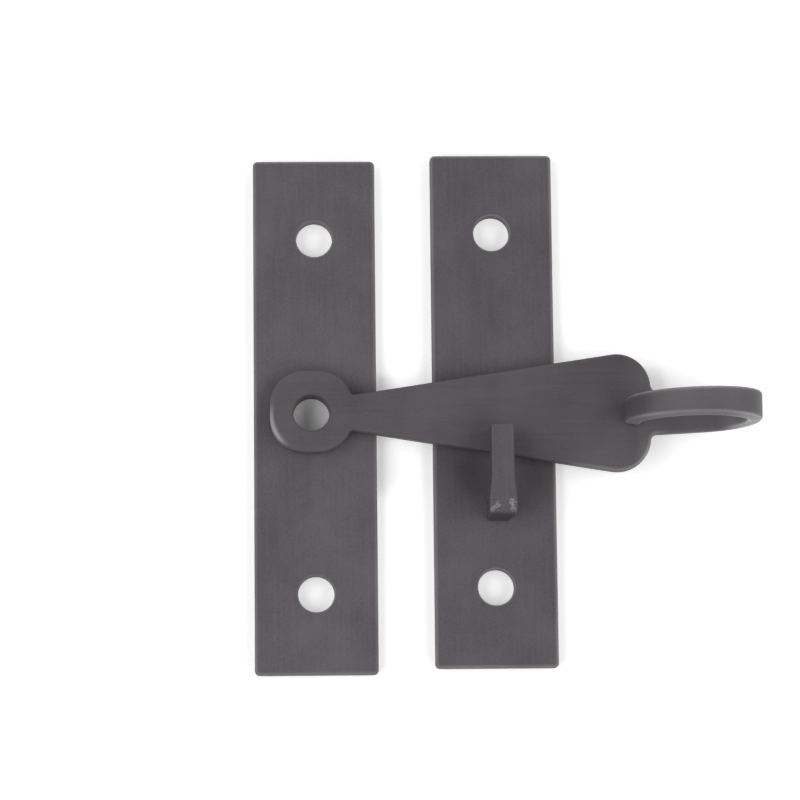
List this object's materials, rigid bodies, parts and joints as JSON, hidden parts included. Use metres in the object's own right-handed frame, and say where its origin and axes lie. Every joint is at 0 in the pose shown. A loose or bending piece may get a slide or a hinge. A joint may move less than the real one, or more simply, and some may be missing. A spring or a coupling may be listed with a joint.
{
  "type": "pigtail bar latch",
  "caption": "Door latch: a flared bar pivots on one plate, its tail is rolled into a finger loop, and a bent hook on a keeper plate holds the bar closed.",
  "frame": {"origin": "the pivot axis, where it meets the mounting plane behind the plates", "axes": "+Z out of the mounting plane towards the user, +Y up along the plates, +X along the closed bar from its eye to its loop, to within half a degree"},
  "size_m": [0.104, 0.1086, 0.0255],
  "materials": {
    "blackened_steel": "matt charcoal, with fine grain and slightly lighter worn edges"
  },
  "bodies": {
    "plates": {"pivot_plate": "blackened_steel", "keeper_plate": "blackened_steel", "keeper_hook": "blackened_steel"},
    "bar": {"latch_bar": "blackened_steel"}
  },
  "joints": [
    {"name": "bar_swing", "type": "hinge", "parent": "plates", "child": "bar", "pos_m": [0, 0, 0], "axis": [0, 0, 1], "range_deg": [-10.2, 90]}
  ]
}
